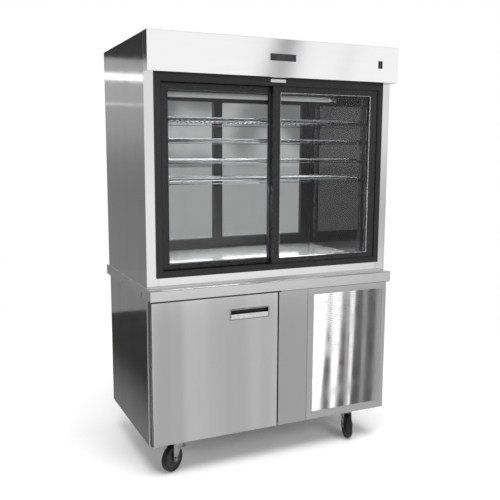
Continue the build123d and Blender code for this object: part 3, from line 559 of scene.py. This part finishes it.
# bright beads round the outer front door's glass only: painted highlight of light on that door's inner edge
bm = bmesh.new()
(x0, x1), g, y0, y1, body = DOORS["front_right"]
out = (x0, x1, 963.0, 1787.0)
add_ring(bm, out, g, [("i", -1.6, y0 - 0.3), ("i", -1.6, y0 - 1.2), ("i", -3.4, y0 - 0.9), ("i", -4.8, y0 + 2.0), ("i", -4.8, y0 + 3.0), ("i", -2.0, y0 + 1.0)])
finish_mesh(bm, "front_right_painted_highlight_bead", M["bead"], body)

# pile seals where the sliding doors overlap
bm = bmesh.new()
add_box(bm, -14, -320.9, 964, -9, -319.6, 1786, 0.3)
finish_mesh(bm, "front_pile_seal", M["rubber"], "front_right_door")
bm = bmesh.new()
add_box(bm, -26, 319.0, 964, -21, 320.4, 1786, 0.3)
finish_mesh(bm, "rear_pile_seal", M["rubber"], "rear_left_door")

# ------------------------------------------------------------------ recessed pull of the base door
PX0, PX1, PZ0, PZ1, PY = -244.0, -42.0, 715.0, 763.0, -367.0
bm = bmesh.new()
# flange with rolled edges
add_ring(bm, (PX0, PX1, PZ0, PZ1), (PX0 + 3, PX1 - 3, PZ0 + 3, PZ1 - 3), [("o", 0.3, PY), ("o", 0.5, PY - 1.1), ("o", 1.0, PY - 1.5), ("i", 0.7, PY - 1.5), ("i", 0.2, PY - 0.9), ("i", 0, PY + 1.5), ("o", 1.5, PY + 1.5)])
# grip plate over the lower part, its top edge rolled inwards
add_box(bm, PX0 + 5, PY - 1.1, PZ0 + 2.8, PX1 - 5, PY + 0.6, PZ0 + 24, 0.3)
add_tube(bm, [(PX0 + 5, PY + 0.9, PZ0 + 23.4), (PX1 - 5, PY + 0.9, PZ0 + 23.4)], 1.9, 14)
add_box(bm, PX0 + 4.8, PY + 1.2, PZ0 + 23.1, PX1 - 4.8, PY + 5, PZ0 + 24.9, 0.3)
pull = finish_mesh(bm, "pull_flange", M["bright"], "base_door", replaces=["door_pull"])
bm = bmesh.new()
add_ring(bm, (PX0 + 1.5, PX1 - 1.5, PZ0 + 1.5, PZ1 - 1.5), (PX0 + 3, PX1 - 3, PZ0 + 3, PZ1 - 3), [("o", 0, PY + 1.4), ("i", 0, PY + 1.4), ("i", 0, PY + 22), ("o", 0, PY + 24)])
add_box(bm, PX0 + 3.2, PY + 22, PZ0 + 3.2, PX1 - 3.2, PY + 24, PZ1 - 3.2)
finish_mesh(bm, "pull_cup", M["recess"], "base_door")
bm = bmesh.new()
add_ring(bm, (PX0 - 2.2, PX1 + 2.2, PZ0 - 2.2, PZ1 + 2.2), (PX0 + 2, PX1 - 2, PZ0 + 2, PZ1 - 2), [("o", 0, PY), ("o", 0.2, PY - 0.5), ("i", 0, PY - 0.5), ("i", 0, PY)])
finish_mesh(bm, "pull_gasket", M["recess"], "base_door")

# ------------------------------------------------------------------ worktop, seams, slots
bm = bmesh.new()
for s in (-1, 1):
    add_tube(bm, [(s * 633.0, -339, 888.6), (s * 633.0, 350, 888.6)], 1.3, 8)
finish_mesh(bm, "sealant_bead", M["caulk"], smooth=True)
# hem folded back under the worktop's front edge, over the door, made black: painted shadow of the gap under the
# overhang
bm = bmesh.new()
add_box(bm, -632, -396.1, 832.3, 8, -383, 839.6, 0.4)
add_box(bm, 8, -395.2, 835.8, 632, -383, 838.3, 0.4)
finish_mesh(bm, "worktop_hem_painted_shadow", M["recess"])
# slots for the fixing hooks in the worktop's ends: near black boxes, painted shade inside the slots
bm = bmesh.new()
for s in (-1, 1):
    for y in (-252, 71):
        add_box(bm, s * 634.6 - 0.5, y - 5, 840.5, s * 634.6 + 0.5, y + 5, 857, 0.2)
finish_mesh(bm, "hook_slots", M["dark"])
bm = bmesh.new()
for s in (-1, 1):
    for y in (-252, 71):
        for a, b, c, d in ((y - 7, 857.1, y + 7, 858.6), (y - 7, 840.5, y - 5.1, 857.1), (y + 5.1, 840.5, y + 7, 857.1)):
            add_box(bm, s * 634.7 - 0.5, a, b, s * 634.7 + 0.5, c, d, 0.2)
finish_mesh(bm, "hook_slot_rims", M["bright"])

# ------------------------------------------------------------------ name plate rim, switch bezel
bm = bmesh.new()
add_ring(bm, (-63 + 1.4, 67 - 1.4, 1893 + 1.4, 1924 - 1.4), (-63 + 2.6, 67 - 2.6, 1893 + 2.6, 1924 - 2.6), [("o", 0, -401.7), ("o", 0.1, -401.98), ("i", 0.1, -401.98), ("i", 0, -401.7)])
finish_mesh(bm, "name_plate_rim", M["bead"])
bm = bmesh.new()
add_ring(bm, (521 - 2.6, 540 + 2.6, 1888.25 - 2.6, 1918.75 + 2.6), (521.4, 539.6, 1888.7, 1918.3), [("o", 0, -400), ("o", 0.4, -401.4), ("i", 0.3, -401.4), ("i", 0, -400.6), ("i", 0, -396), ("i", 0.6, -396), ("i", 0.6, -400)])
finish_mesh(bm, "switch_bezel", M["plate"])

# ------------------------------------------------------------------ fasteners
pl = []
for x in (-612, 612):
    for z in (960, 1180, 1400, 1620, 1800):
        pl.append(((x, 351, z), (0, 1, 0)))
for x in (-480, -240, 0, 240, 480):
    pl.append(((x, 351, 1905), (0, 1, 0)))
for x in (-600, -300, 0, 300, 600):
    pl += [((x, 329, 200), (0, 1, 0)), ((x, 329, 800), (0, 1, 0))]
for x in (-560, -280, 0, 280, 560):
    pl += [((x, -300, 1989 - 0.9), (0, 0, 1)), ((x, 300, 1989 - 0.9), (0, 0, 1))]
screws("rear_and_top_screws", pl[:20], 4.2, 1.6)
pl = []
for k, (cx, cy) in {"fl": (-494, -292), "fr": (459, -292), "rl": (-490, 268), "rr": (490, 268)}.items():
    for sx in (-1, 1):
        for sy in (-1, 1):
            pl.append(((cx + sx * 38, cy + sy * 28, 145.5), (0, 0, -1)))
screws("caster_bolts", pl, 6.0, 3.2, mat="zinc")
screws("louvre_screws", [((x, -367, z), (0, -1, 0)) for x in (188, 622) for z in (176, 815)], 3.0, 1.0)
screws("hinge_screws", [((-607, -352, 836.6), (0, 0, 1))], 2.5, 0.9)

# ------------------------------------------------------------------ casters
C = {"fl": (-494.0, -292.0, 211.0), "fr": (459.0, -292.0, 251.0), "rl": (-490.0, 268.0, 70.0), "rr": (490.0, 268.0, 110.0)}
for k, (cx, cy, a) in C.items():
    t = Vector((math.cos(math.radians(a)), math.sin(math.radians(a)), 0))
    ax = Vector((-t.y, t.x, 0))
    hub = Vector((cx, cy, 62.5)) + t * 25.0
    R, W = 62.5, 16.0
    prof = [(6.1, -W - 1.9), (11.5, -W - 1.9), (12.8, -W - 0.8), (13.2, -W + 3.4), (30, -W + 4.2), (40.5, -W + 4.0), (43.2, -W + 1.2), (45.5, -W + 0.1), (54, -W), (58.6, -W + 1.0), (61.2, -W + 3.6), (62.2, -W + 8), (62.5, 0),
            (62.2, W - 8), (61.2, W - 3.6), (58.6, W - 1.0), (54, W), (45.5, W - 0.1), (43.2, W - 1.2), (40.5, W - 4.0), (30, W - 4.2), (13.2, W - 3.4), (12.8, W + 0.8), (11.5, W + 1.9), (6.1, W + 1.9), (6.1, -W - 1.9)]
    hubfaces = [1] * 6 + [0] * 12 + [1] * 7
    bm = bmesh.new()
    add_lathe(bm, prof, hub, ax, 72, hubfaces)
    # ribs on both faces of the hub
    for j in range(8):
        q = 2 * math.pi * j / 8
        d = t * math.cos(q) + Vector((0, 0, 1)) * math.sin(q)
        w = ax.cross(d)
        for s in (-1, 1):
            o0 = hub + ax * s * (W - 4.4)
            vs = []
            for rr, hh in ((12.5, 4.4), (41.0, 1.4), (41.0, 0.0), (12.5, 0.0)):
                for ww in (-1.6, 1.6):
                    vs.append(bm.verts.new(o0 + d * rr + ax * s * hh + w * ww))
            for f in ((0, 2, 3, 1), (2, 4, 5, 3), (4, 6, 7, 5), (6, 0, 1, 7), (0, 6, 4, 2), (1, 3, 5, 7)):
                bm.faces.new([vs[i] for i in f]).material_index = 1
    finish_mesh(bm, "caster_%s_tyre" % k, [M["tyre"], M["hub"]], "wheel_" + k, smooth=True, angle=30, replaces=["caster_%s_wheel" % k])
    # axle nut and cap
    bm = bmesh.new()
    for s in (-1, 1):
        add_lathe(bm, [(0, 0), (8.6, 0), (8.6, 4.2), (7.6, 5.0), (0, 5.0)], hub + ax * s * 25.6, ax * s, 6)
        add_lathe(bm, [(0, 0), (4.2, 0), (4.2, 2.0), (3.2, 2.8), (0, 2.8)], hub + ax * s * 30.4, ax * s, 20)
    finish_mesh(bm, "caster_%s_axle_nuts" % k, M["zinc"], "caster_" + k)
    # swivel raceway
    bm = bmesh.new()
    add_lathe(bm, [(20, 137.2), (27.5, 137.2), (29.6, 138.4), (30.2, 141), (29.2, 142.6), (20, 142.8), (20, 137.2)], (cx, cy, 0), (0, 0, 1), 48)
    finish_mesh(bm, "caster_%s_race" % k, M["zinc"], "caster_" + k, smooth=True)

# ------------------------------------------------------------------ stage
LOOKS = {}


def emitter(name, corners, power, camera=False, tint=(1, 1, 1), nodes=None):
    """a light card given by four corners"""
    me = bpy.data.meshes.new(name)
    me.from_pydata([tuple(c) for c in corners], [], [(0, 1, 2, 3)])
    o = bpy.data.objects.new(name, me)
    bpy.context.scene.collection.objects.link(o)
    m = bpy.data.materials.new(name)
    m.use_nodes = True
    nt = m.node_tree
    nt.nodes.clear()
    em = nt.nodes.new("ShaderNodeEmission")
    em.inputs[0].default_value = (*tint, 1)
    em.inputs[1].default_value = power
    out = nt.nodes.new("ShaderNodeOutputMaterial")
    nt.links.new(em.outputs[0], out.inputs[0])
    if nodes:
        nodes(nt, em)
    me.materials.append(m)
    o.visible_camera = camera
    o.visible_shadow = False
    o.visible_transmission = False
    o.visible_diffuse = False
    return o


def floor_and_world():
    sc = bpy.context.scene
    me = bpy.data.meshes.new("floor")
    S = 60
    me.from_pydata([(-S, -S, 0), (S, -S, 0), (S, S, 0), (-S, S, 0)], [], [(0, 1, 2, 3)])
    o = bpy.data.objects.new("floor", me)
    sc.collection.objects.link(o)
    m = bpy.data.materials.new("floor")
    m.use_nodes = True
    nt = m.node_tree
    b = nt.nodes["Principled BSDF"]
    b.inputs["Base Color"].default_value = (0.8, 0.8, 0.8, 1)
    b.inputs["Roughness"].default_value = 0.7
    b.inputs["Specular IOR Level"].default_value = 0.2
    out = [n for n in nt.nodes if n.type == "OUTPUT_MATERIAL"][0]
    geo = nt.nodes.new("ShaderNodeNewGeometry")
    ln = nt.nodes.new("ShaderNodeVectorMath")
    ln.operation = "LENGTH"
    nt.links.new(geo.outputs["Position"], ln.inputs[0])
    mr = nt.nodes.new("ShaderNodeMapRange")
    mr.interpolation_type = "SMOOTHSTEP"
    nt.links.new(ln.outputs["Value"], mr.inputs["Value"])
    mr.inputs["From Min"].default_value = 1.2
    mr.inputs["From Max"].default_value = 3.6
    lp = nt.nodes.new("ShaderNodeLightPath")
    far = nt.nodes.new("ShaderNodeMix")
    far.data_type = "RGBA"
    A = [i for i in far.inputs if i.name == "A" and i.type == "RGBA"][0]
    B = [i for i in far.inputs if i.name == "B" and i.type == "RGBA"][0]
    A.default_value = (0.62, 0.62, 0.62, 1)
    B.default_value = (WHITE, WHITE, WHITE, 1)
    nt.links.new(lp.outputs["Is Camera Ray"], far.inputs["Factor"])
    # what is seen through the glass behind the case is a dimmer room
    tr = nt.nodes.new("ShaderNodeMix")
    tr.data_type = "RGBA"
    A2 = [i for i in tr.inputs if i.name == "A" and i.type == "RGBA"][0]
    B2 = [i for i in tr.inputs if i.name == "B" and i.type == "RGBA"][0]
    nt.links.new([q for q in far.outputs if q.type == "RGBA"][0], A2)
    B2.default_value = (0.34, 0.34, 0.34, 1)
    nt.links.new(lp.outputs["Is Transmission Ray"], tr.inputs["Factor"])
    em = nt.nodes.new("ShaderNodeEmission")
    nt.links.new([q for q in tr.outputs if q.type == "RGBA"][0], em.inputs["Color"])
    mix = nt.nodes.new("ShaderNodeMixShader")
    nt.links.new(mr.outputs["Result"], mix.inputs[0])
    nt.links.new(b.outputs[0], mix.inputs[1])
    nt.links.new(em.outputs[0], mix.inputs[2])
    nt.links.new(mix.outputs[0], out.inputs["Surface"])
    me.materials.append(m)

    w = bpy.data.worlds.new("studio")
    sc.world = w
    w.use_nodes = True
    nt = w.node_tree
    bg = nt.nodes["Background"]
    tc = nt.nodes.new("ShaderNodeTexCoord")
    sep = nt.nodes.new("ShaderNodeSeparateXYZ")
    nt.links.new(tc.outputs["Generated"], sep.inputs[0])

    def mr_(v, a, b_, c, d, smooth=True):
        n = nt.nodes.new("ShaderNodeMapRange")
        n.interpolation_type = "SMOOTHSTEP" if smooth else "LINEAR"
        nt.links.new(v, n.inputs["Value"])
        for k, x in (("From Min", a), ("From Max", b_), ("To Min", c), ("To Max", d)):
            n.inputs[k].default_value = x
        return n.outputs["Result"]

    def mixf(f, a, b_):
        n = nt.nodes.new("ShaderNodeMix")
        n.data_type = "FLOAT"
        for sock, v in ((n.inputs["Factor"], f), (n.inputs[2], a), (n.inputs[3], b_)):
            if isinstance(v, (int, float)):
                sock.default_value = v
            else:
                nt.links.new(v, sock)
        return n.outputs[0]

    # front half: grey near the horizon, dim above; back half: a dim room, with a bright upper part
    front = mr_(sep.outputs["Z"], 0.16, 0.3, 0.75, 0.5)
    noise = nt.nodes.new("ShaderNodeTexNoise")
    noise.inputs["Scale"].default_value = 11.0
    noise.inputs["Detail"].default_value = 1.0
    nt.links.new(tc.outputs["Generated"], noise.inputs["Vector"])
    room = mr_(noise.outputs["Fac"], 0.4, 0.6, 0.16, 0.42)
    up = mr_(sep.outputs["Z"], 0.105, 0.125, 0.0, 1.0)
    back = mixf(up, room, 1.15)
    high = mr_(sep.outputs["Z"], 0.35, 0.6, 0.0, 1.0)
    back = mixf(high, back, 0.45)
    side = mr_(sep.outputs["Y"], -0.15, 0.15, 0.0, 1.0)
    rest = mixf(side, front, back)
    lp = nt.nodes.new("ShaderNodeLightPath")
    val = mixf(lp.outputs["Is Camera Ray"], rest, WHITE)
    nt.links.new(val, bg.inputs["Strength"])
    bg.inputs["Color"].default_value = (1, 1, 1, 1)


WHITE = 1.0
floor_and_world()


def reflect_hit(p, n, y_plane):
    """where a sight line that meets a surface at p with normal n goes on to meet the plane y = y_plane"""
    d = Vector(p) - CAM
    n = Vector(n).normalized()
    r = d - 2 * d.dot(n) * n
    s = (y_plane - p[1]) / r.y
    return Vector(p) + r * s


# tall strip boxes in front on the right; the slats pick them up as upright bands
LN = (0, -math.cos(math.radians(26)), math.sin(math.radians(26)))
YL = -9.5


def strip_card(name, top, bottom, power):
    """top and bottom are (left, right) in mm across the slatted field, at its upper and lower edge"""
    c = [reflect_hit((x * MM, -0.367, z * MM), LN, YL) for x, z in ((bottom[0], 190), (bottom[1], 190), (top[1], 806), (top[0], 806))]
    up = (c[3] - c[0]) * 0.12
    c = [c[0] - up, c[1] - up, c[2] + up, c[3] + up]
    emitter(name, c, power)


strip_card("strip_1", (200, 297), (196, 243), 1.9)
strip_card("strip_2", (310, 372), (312, 336), 1.8)
strip_card("strip_3", (415, 450), (412, 426), 1.3)
strip_card("strip_a", (297, 310), (300, 312), 0.5)
strip_card("strip_b", (388, 407), (392, 404), 0.5)
strip_card("strip_c", (494, 524), (486, 512), 0.36)
strip_card("strip_d", (576, 606), (566, 600), 0.4)
strip_card("strip_dim", (190, 640), (190, 640), 0.1)
bpy.data.objects["strip_dim"].location.y = -0.4


def wall_nodes(nt, em):
    """bright wall of the studio: dimmer low down, with a soft leaning shadow across it"""
    geo = nt.nodes.new("ShaderNodeNewGeometry")
    sep = nt.nodes.new("ShaderNodeSeparateXYZ")
    nt.links.new(geo.outputs["Position"], sep.inputs[0])

    def rng(v, a, b_, c, d):
        n = nt.nodes.new("ShaderNodeMapRange")
        n.interpolation_type = "SMOOTHSTEP"
        nt.links.new(v, n.inputs["Value"])
        for k, x in (("From Min", a), ("From Max", b_), ("To Min", c), ("To Max", d)):
            n.inputs[k].default_value = x
        return n.outputs["Result"]

    def op(kind, a, b_):
        n = nt.nodes.new("ShaderNodeMath")
        n.operation = kind
        for i, v in enumerate((a, b_)):
            if isinstance(v, (int, float)):
                n.inputs[i].default_value = v
            else:
                nt.links.new(v, n.inputs[i])
        return n.outputs[0]

    right = rng(sep.outputs["X"], 3.0, 7.0, 1.25, 0.75)
    high = rng(sep.outputs["Z"], 0.2, 2.0, 0.0, 1.0)
    low = op("ADD", op("MULTIPLY", high, WALL), op("MULTIPLY", op("SUBTRACT", 1.0, high), right))
    lean = op("ADD", sep.outputs["X"], op("MULTIPLY", sep.outputs["Z"], -0.3))
    d1 = op("ABSOLUTE", op("SUBTRACT", lean, BAND[0]), 0)
    shade = rng(d1, 0.0, BAND[1], BAND[2], 1.0)
    d2 = op("ABSOLUTE", op("SUBTRACT", lean, BAND2[0]), 0)
    shade2 = rng(d2, 0.0, BAND2[1], BAND2[2], 1.0)
    nt.links.new(op("MULTIPLY", op("MULTIPLY", low, shade), shade2), em.inputs["Strength"])


WALL = 1.12
_mid = reflect_hit((0.0, -0.4, 1.905), (0, -1, 0), -10.0)
_mid2 = reflect_hit((0.34, -0.4, 1.905), (0, -1, 0), -10.0)
BAND = (_mid.x - 0.3 * _mid.z, 0.55, 0.36)
BAND2 = (_mid2.x - 0.3 * _mid2.z, 0.25, 0.85)
emitter("front_wall", [(-3.5, -10.0, 0.0), (11.5, -10.0, 0.0), (11.5, -10.0, 4.35), (-3.5, -10.0, 4.35)], 1.0, nodes=wall_nodes)


def floor_nodes(nt, em):
    """dull polished floor in front: darker near the case, lighter further off"""
    geo = nt.nodes.new("ShaderNodeNewGeometry")
    sep = nt.nodes.new("ShaderNodeSeparateXYZ")
    nt.links.new(geo.outputs["Position"], sep.inputs[0])
    def rng(v, a, b_, c, d):
        n = nt.nodes.new("ShaderNodeMapRange")
        n.interpolation_type = "SMOOTHSTEP"
        nt.links.new(v, n.inputs["Value"])
        for k, x in (("From Min", a), ("From Max", b_), ("To Min", c), ("To Max", d)):
            n.inputs[k].default_value = x
        return n.outputs["Result"]

    m = nt.nodes.new("ShaderNodeMath")
    m.operation = "MULTIPLY"
    nt.links.new(rng(sep.outputs["Y"], -3.3, -4.9, FLOOR[0], FLOOR[1]), m.inputs[0])
    nt.links.new(rng(sep.outputs["X"], 2.0, 6.0, 1.0, 0.62), m.inputs[1])
    nt.links.new(m.outputs[0], em.inputs["Strength"])


FLOOR = (0.76, 1.25)
emitter("front_floor", [(-2.5, -10.0, 0.003), (9.0, -10.0, 0.003), (4.0, -0.45, 0.003), (-0.64, -0.45, 0.003)], 1.0, nodes=floor_nodes)


# graded card behind on the left, mirrored in the case's left side, and dim flags on the floor before it
def side_nodes(nt, em):
    geo = nt.nodes.new("ShaderNodeNewGeometry")
    sep = nt.nodes.new("ShaderNodeSeparateXYZ")
    nt.links.new(geo.outputs["Position"], sep.inputs[0])
    cr = nt.nodes.new("ShaderNodeValToRGB")
    mr = nt.nodes.new("ShaderNodeMapRange")
    mr.inputs["From Min"].default_value = 0.0
    mr.inputs["From Max"].default_value = 3.4
    nt.links.new(sep.outputs["Z"], mr.inputs["Value"])
    nt.links.new(mr.outputs["Result"], cr.inputs["Fac"])
    stops = [(0.0, 0.26), (0.3, 0.24), (0.40, 0.27), (0.52, 0.40), (0.602, 0.45), (0.606, 0.95), (0.612, 0.5), (0.688, 0.5), (0.695, 2.2), (0.708, 2.2), (0.716, 0.5), (0.762, 0.42), (0.768, 0.05), (1.0, 0.05)]
    els = cr.color_ramp.elements
    while len(els) < len(stops):
        els.new(0.5)
    for e, (p, v) in zip(els, stops):
        e.position = p
        e.color = (v, v, v, 1)
    nt.links.new(cr.outputs["Color"], em.inputs["Color"])


emitter("side_card", [(-3.6, 5.0, 0), (-0.9, 5.0, 0), (-0.9, 5.0, 3.4), (-3.6, 5.0, 3.4)], 1.0, nodes=side_nodes)
def flag_nodes(nt, em):
    """floor beside the case: lighter close to it"""
    geo = nt.nodes.new("ShaderNodeNewGeometry")
    sep = nt.nodes.new("ShaderNodeSeparateXYZ")
    nt.links.new(geo.outputs["Position"], sep.inputs[0])
    ns = nt.nodes.new("ShaderNodeTexNoise")
    ns.inputs["Scale"].default_value = 2.2
    nt.links.new(geo.outputs["Position"], ns.inputs["Vector"])
    n = nt.nodes.new("ShaderNodeMapRange")
    n.interpolation_type = "SMOOTHSTEP"
    nt.links.new(sep.outputs["X"], n.inputs["Value"])
    for k, x in (("From Min", -1.05), ("From Max", -0.7), ("To Min", 0.03), ("To Max", 0.2)):
        n.inputs[k].default_value = x
    m = nt.nodes.new("ShaderNodeMath")
    m.operation = "MULTIPLY_ADD"
    nt.links.new(ns.outputs["Fac"], m.inputs[0])
    m.inputs[1].default_value = 0.04
    nt.links.new(n.outputs["Result"], m.inputs[2])
    nt.links.new(m.outputs[0], em.inputs["Strength"])


emitter("floor_flag_dark", [(-1.75, -0.5, 0.004), (-0.66, -0.5, 0.004), (-0.66, 2.9, 0.004), (-1.75, 2.9, 0.004)], 1.0, nodes=flag_nodes)
emitter("floor_flag_mid", [(-2.4, 2.9, 0.004), (-0.66, 2.9, 0.004), (-0.66, 5.0, 0.004), (-2.4, 5.0, 0.004)], 0.28)


def area(name, loc, target, size, size_y, power, glossy=True):
    ld = bpy.data.lights.new(name, "AREA")
    ld.shape = "RECTANGLE"
    ld.size, ld.size_y, ld.energy = size, size_y, power
    o = bpy.data.objects.new(name, ld)
    bpy.context.scene.collection.objects.link(o)
    o.location = loc
    o.rotation_mode = "QUATERNION"
    o.rotation_quaternion = (Vector(target) - Vector(loc)).to_track_quat("-Z", "Y")
    o.visible_glossy = glossy
    o.visible_camera = False
    return o


area("key_top", (0.0, -1.2, 5.2), (0, -0.6, 0), 5.0, 4.0, 330, False)
area("front_fill", (1.6, -5.2, 3.2), (0, 0, 1.0), 3.0, 2.0, 110, False)
area("left_fill", (-4.6, -1.5, 2.6), (0, 0, 1.0), 2.0, 2.5, 55, False)
area("back_fill", (0.5, 5.0, 3.4), (0, 0, 1.0), 3.0, 2.0, 80, False)
area("case_lamp", (0.0, -0.1, 1.33), (0.0, -0.1, 0.9), 1.0, 0.4, 11, False)
